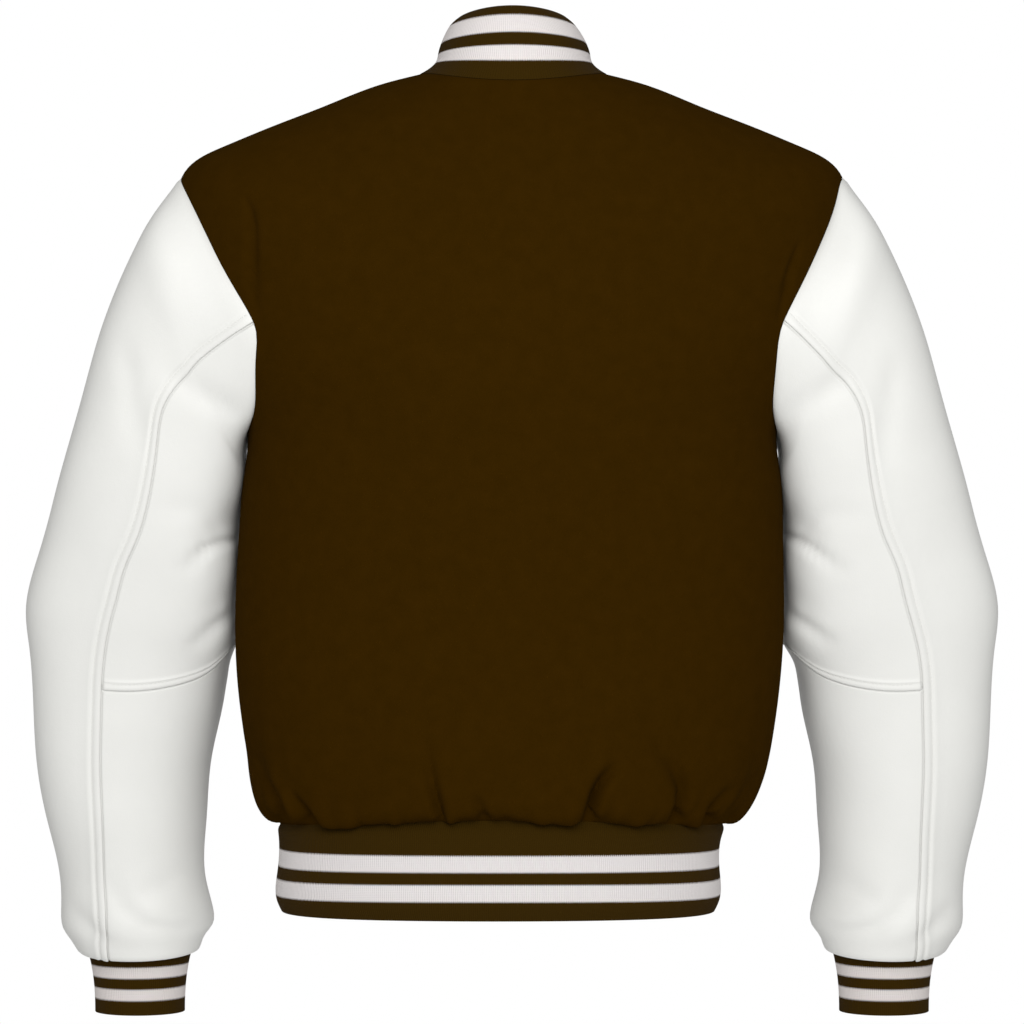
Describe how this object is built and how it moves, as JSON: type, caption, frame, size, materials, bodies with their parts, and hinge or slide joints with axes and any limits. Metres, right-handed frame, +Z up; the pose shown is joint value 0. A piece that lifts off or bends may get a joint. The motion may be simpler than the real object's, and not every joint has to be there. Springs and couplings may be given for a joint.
{
  "type": "varsity jacket",
  "caption": "Filled-out varsity jacket: wool body, leather sleeves with elbow seams, and striped rib-knit stand collar, cuffs and hem band.",
  "frame": {"origin": "centre of the neck, on the jacket's centre plane and midway between back and front at the neck seam, level with the tops of the shoulders beside the collar", "axes": "+Z up, -Y towards the wearer's back, which faces the picture's camera, and +X towards the wearer's right hand"},
  "size_m": [0.7654, 0.2754, 0.785],
  "materials": {
    "wool": "matt brown melton wool",
    "leather": "smooth off-white leather",
    "rib_knit": "brown rib knit with two off-white stripes",
    "stud_cap": "polished press-stud cap"
  },
  "bodies": {
    "root": {"back": "wool", "front_left": "wool", "front_right": "wool", "hem_tab_left": "wool", "hem_tab_right": "wool", "collar": "rib_knit", "hem_band": "rib_knit", "cuff_left": "rib_knit", "cuff_right": "rib_knit", "sleeve_top_left": "leather", "sleeve_top_right": "leather", "sleeve_under_upper_left": "leather", "sleeve_under_upper_right": "leather", "sleeve_under_lower_left": "leather", "sleeve_under_lower_right": "leather", "stud_1": "stud_cap", "stud_2": "stud_cap", "stud_3": "stud_cap", "stud_4": "stud_cap", "stud_5": "stud_cap", "stud_6": "stud_cap", "stud_7": "stud_cap"}
  },
  "joints": []
}
